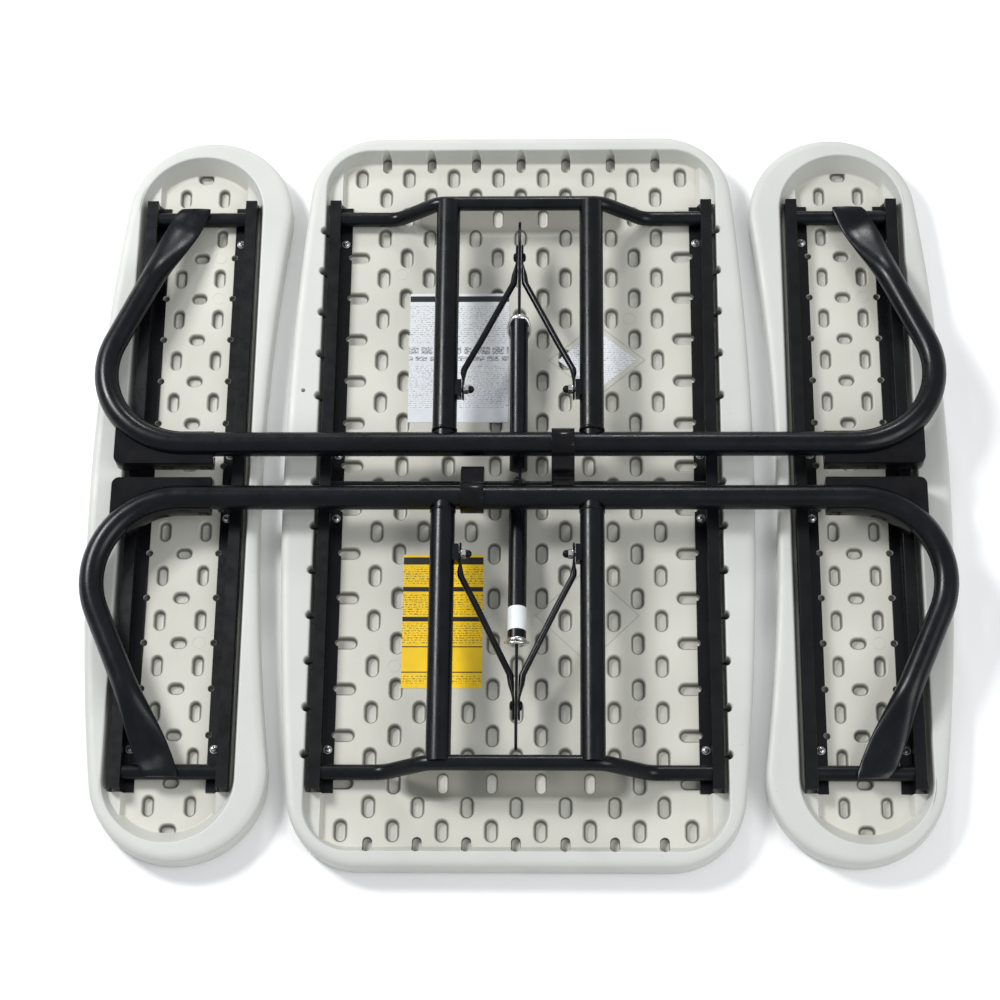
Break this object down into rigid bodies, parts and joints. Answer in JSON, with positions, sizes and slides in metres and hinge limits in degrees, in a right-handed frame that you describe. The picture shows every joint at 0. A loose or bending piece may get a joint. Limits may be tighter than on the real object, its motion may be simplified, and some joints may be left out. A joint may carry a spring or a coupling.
{
  "type": "folding picnic table",
  "caption": "Folding picnic table for children with two attached benches, folded flat: moulded panels, steel rails, telescoping legs, braces and feet.",
  "frame": {"origin": "centre of the tabletop face, on the plane that the folded table lies on", "axes": "+X across the benches, +Y along the tabletop and benches, +Z away from the tabletop face, towards the folded legs"},
  "size_m": [0.902, 0.826, 0.0747],
  "materials": {
    "panel_plastic": "fine-textured moulded polyethylene",
    "frame_steel": "satin powder coat",
    "black_plastic": "smooth moulded",
    "zinc_hardware": "bright zinc plate",
    "white_label": "printed film without text",
    "yellow_label": "printed film without text"
  },
  "bodies": {
    "tabletop": {"centre_rod": "frame_steel", "instruction_label": "white_label", "table_rail_left": "frame_steel", "table_rail_right": "frame_steel", "table_screws": "zinc_hardware", "tabletop_panel": "panel_plastic", "warning_label": "yellow_label"},
    "bench_left": {"bench_left_inner_rail": "frame_steel", "bench_left_outer_rail": "frame_steel", "bench_left_panel": "panel_plastic", "bench_left_screws": "zinc_hardware"},
    "bench_right": {"bench_right_inner_rail": "frame_steel", "bench_right_outer_rail": "frame_steel", "bench_right_panel": "panel_plastic", "bench_right_screws": "zinc_hardware"},
    "upper_frame_a": {"outer_upright_a_left": "frame_steel", "outer_upright_a_right": "frame_steel", "strut_bolt_a_left": "zinc_hardware", "strut_bolt_a_right": "zinc_hardware", "strut_bracket_a_left": "frame_steel", "strut_bracket_a_right": "frame_steel", "top_crossbar_a": "frame_steel", "upright_collar_a_left": "black_plastic", "upright_collar_a_right": "black_plastic"},
    "inner_legs_a": {"inner_upright_a_left": "frame_steel", "inner_upright_a_right": "frame_steel"},
    "base_frame_a": {"bench_crossbar_a_left": "frame_steel", "bench_crossbar_a_right": "frame_steel", "foot_a_left": "black_plastic", "foot_a_right": "black_plastic", "ground_tube_a": "frame_steel", "leg_clip_a": "black_plastic"},
    "brace_a": {"brace_bar_a": "frame_steel", "brace_tube_a": "frame_steel"},
    "struts_a": {"strut_a_left": "frame_steel", "strut_a_right": "frame_steel"},
    "ring_a": {"lock_ring_a": "zinc_hardware"},
    "upper_frame_b": {"outer_upright_b_left": "frame_steel", "outer_upright_b_right": "frame_steel", "strut_bolt_b_left": "zinc_hardware", "strut_bolt_b_right": "zinc_hardware", "strut_bracket_b_left": "frame_steel", "strut_bracket_b_right": "frame_steel", "top_crossbar_b": "frame_steel", "upright_collar_b_left": "black_plastic", "upright_collar_b_right": "black_plastic"},
    "inner_legs_b": {"inner_upright_b_left": "frame_steel", "inner_upright_b_right": "frame_steel"},
    "base_frame_b": {"bench_crossbar_b_left": "frame_steel", "bench_crossbar_b_right": "frame_steel", "foot_b_left": "black_plastic", "foot_b_right": "black_plastic", "ground_tube_b": "frame_steel", "leg_clip_b": "black_plastic"},
    "brace_b": {"brace_bar_b": "frame_steel", "brace_tube_b": "frame_steel"},
    "struts_b": {"strut_b_left": "frame_steel", "strut_b_right": "frame_steel"},
    "ring_b": {"lock_ring_b": "zinc_hardware"}
  },
  "joints": [
    {"name": "leg_fold_a", "type": "hinge", "parent": "tabletop", "child": "upper_frame_a", "pos_m": [0, 0.314, 0.022], "axis": [1, 0, 0], "range_deg": [-90, 0]},
    {"name": "leg_fold_b", "type": "hinge", "parent": "tabletop", "child": "upper_frame_b", "pos_m": [0, -0.314, 0.022], "axis": [1, 0, 0], "range_deg": [0, 90]},
    {"name": "bench_left_lift", "type": "slide", "parent": "tabletop", "child": "bench_left", "axis": [0, 0, 1], "range_m": [0, 0.208]},
    {"name": "bench_right_lift", "type": "slide", "parent": "tabletop", "child": "bench_right", "axis": [0, 0, 1], "range_m": [0, 0.208]},
    {"name": "base_fold_a", "type": "hinge", "parent": "bench_left", "child": "base_frame_a", "pos_m": [-0.35, 0.314, 0.022], "axis": [1, 0, 0], "range_deg": [-90, 0]},
    {"name": "leg_extend_a", "type": "slide", "parent": "upper_frame_a", "child": "inner_legs_a", "axis": [0, -1, 0], "range_m": [0, 0.208]},
    {"name": "brace_swing_a", "type": "hinge", "parent": "tabletop", "child": "brace_a", "pos_m": [0, 0, 0.022], "axis": [1, 0, 0], "range_deg": [0, 26.12]},
    {"name": "strut_swing_a", "type": "hinge", "parent": "upper_frame_a", "child": "struts_a", "pos_m": [0, 0.0926, 0.058], "axis": [1, 0, 0], "range_deg": [-54.61, 0]},
    {"name": "ring_slide_a", "type": "slide", "parent": "brace_a", "child": "ring_a", "axis": [0, 0.9942, 0.1079], "range_m": [0, 0.03]},
    {"name": "base_fold_b", "type": "hinge", "parent": "bench_right", "child": "base_frame_b", "pos_m": [0.35, -0.314, 0.022], "axis": [1, 0, 0], "range_deg": [0, 90]},
    {"name": "leg_extend_b", "type": "slide", "parent": "upper_frame_b", "child": "inner_legs_b", "axis": [0, 1, 0], "range_m": [0, 0.208]},
    {"name": "brace_swing_b", "type": "hinge", "parent": "tabletop", "child": "brace_b", "pos_m": [0, 0, 0.022], "axis": [1, 0, 0], "range_deg": [-26.12, 0]},
    {"name": "strut_swing_b", "type": "hinge", "parent": "upper_frame_b", "child": "struts_b", "pos_m": [0, -0.0926, 0.058], "axis": [1, 0, 0], "range_deg": [0, 54.61]},
    {"name": "ring_slide_b", "type": "slide", "parent": "brace_b", "child": "ring_b", "axis": [0, -0.9942, 0.1079], "range_m": [0, 0.03]}
  ],
  "couplings": [
    {"joint": "leg_fold_b", "follows": "leg_fold_a", "ratio": -1},
    {"joint": "bench_left_lift", "follows": "leg_fold_a", "m_per_rad": -0.13242},
    {"joint": "bench_right_lift", "follows": "leg_fold_a", "m_per_rad": -0.13242},
    {"joint": "base_fold_a", "follows": "leg_fold_a", "ratio": 1},
    {"joint": "leg_extend_a", "follows": "leg_fold_a", "m_per_rad": -0.13242},
    {"joint": "brace_swing_a", "follows": "leg_fold_a", "ratio": -0.29024},
    {"joint": "strut_swing_a", "follows": "leg_fold_a", "ratio": 0.60677},
    {"joint": "ring_slide_a", "follows": "leg_fold_a", "m_per_rad": -0.019099},
    {"joint": "base_fold_b", "follows": "leg_fold_a", "ratio": -1},
    {"joint": "leg_extend_b", "follows": "leg_fold_a", "m_per_rad": -0.13242},
    {"joint": "brace_swing_b", "follows": "leg_fold_a", "ratio": 0.29024},
    {"joint": "strut_swing_b", "follows": "leg_fold_a", "ratio": -0.60677},
    {"joint": "ring_slide_b", "follows": "leg_fold_a", "m_per_rad": -0.019099}
  ]
}
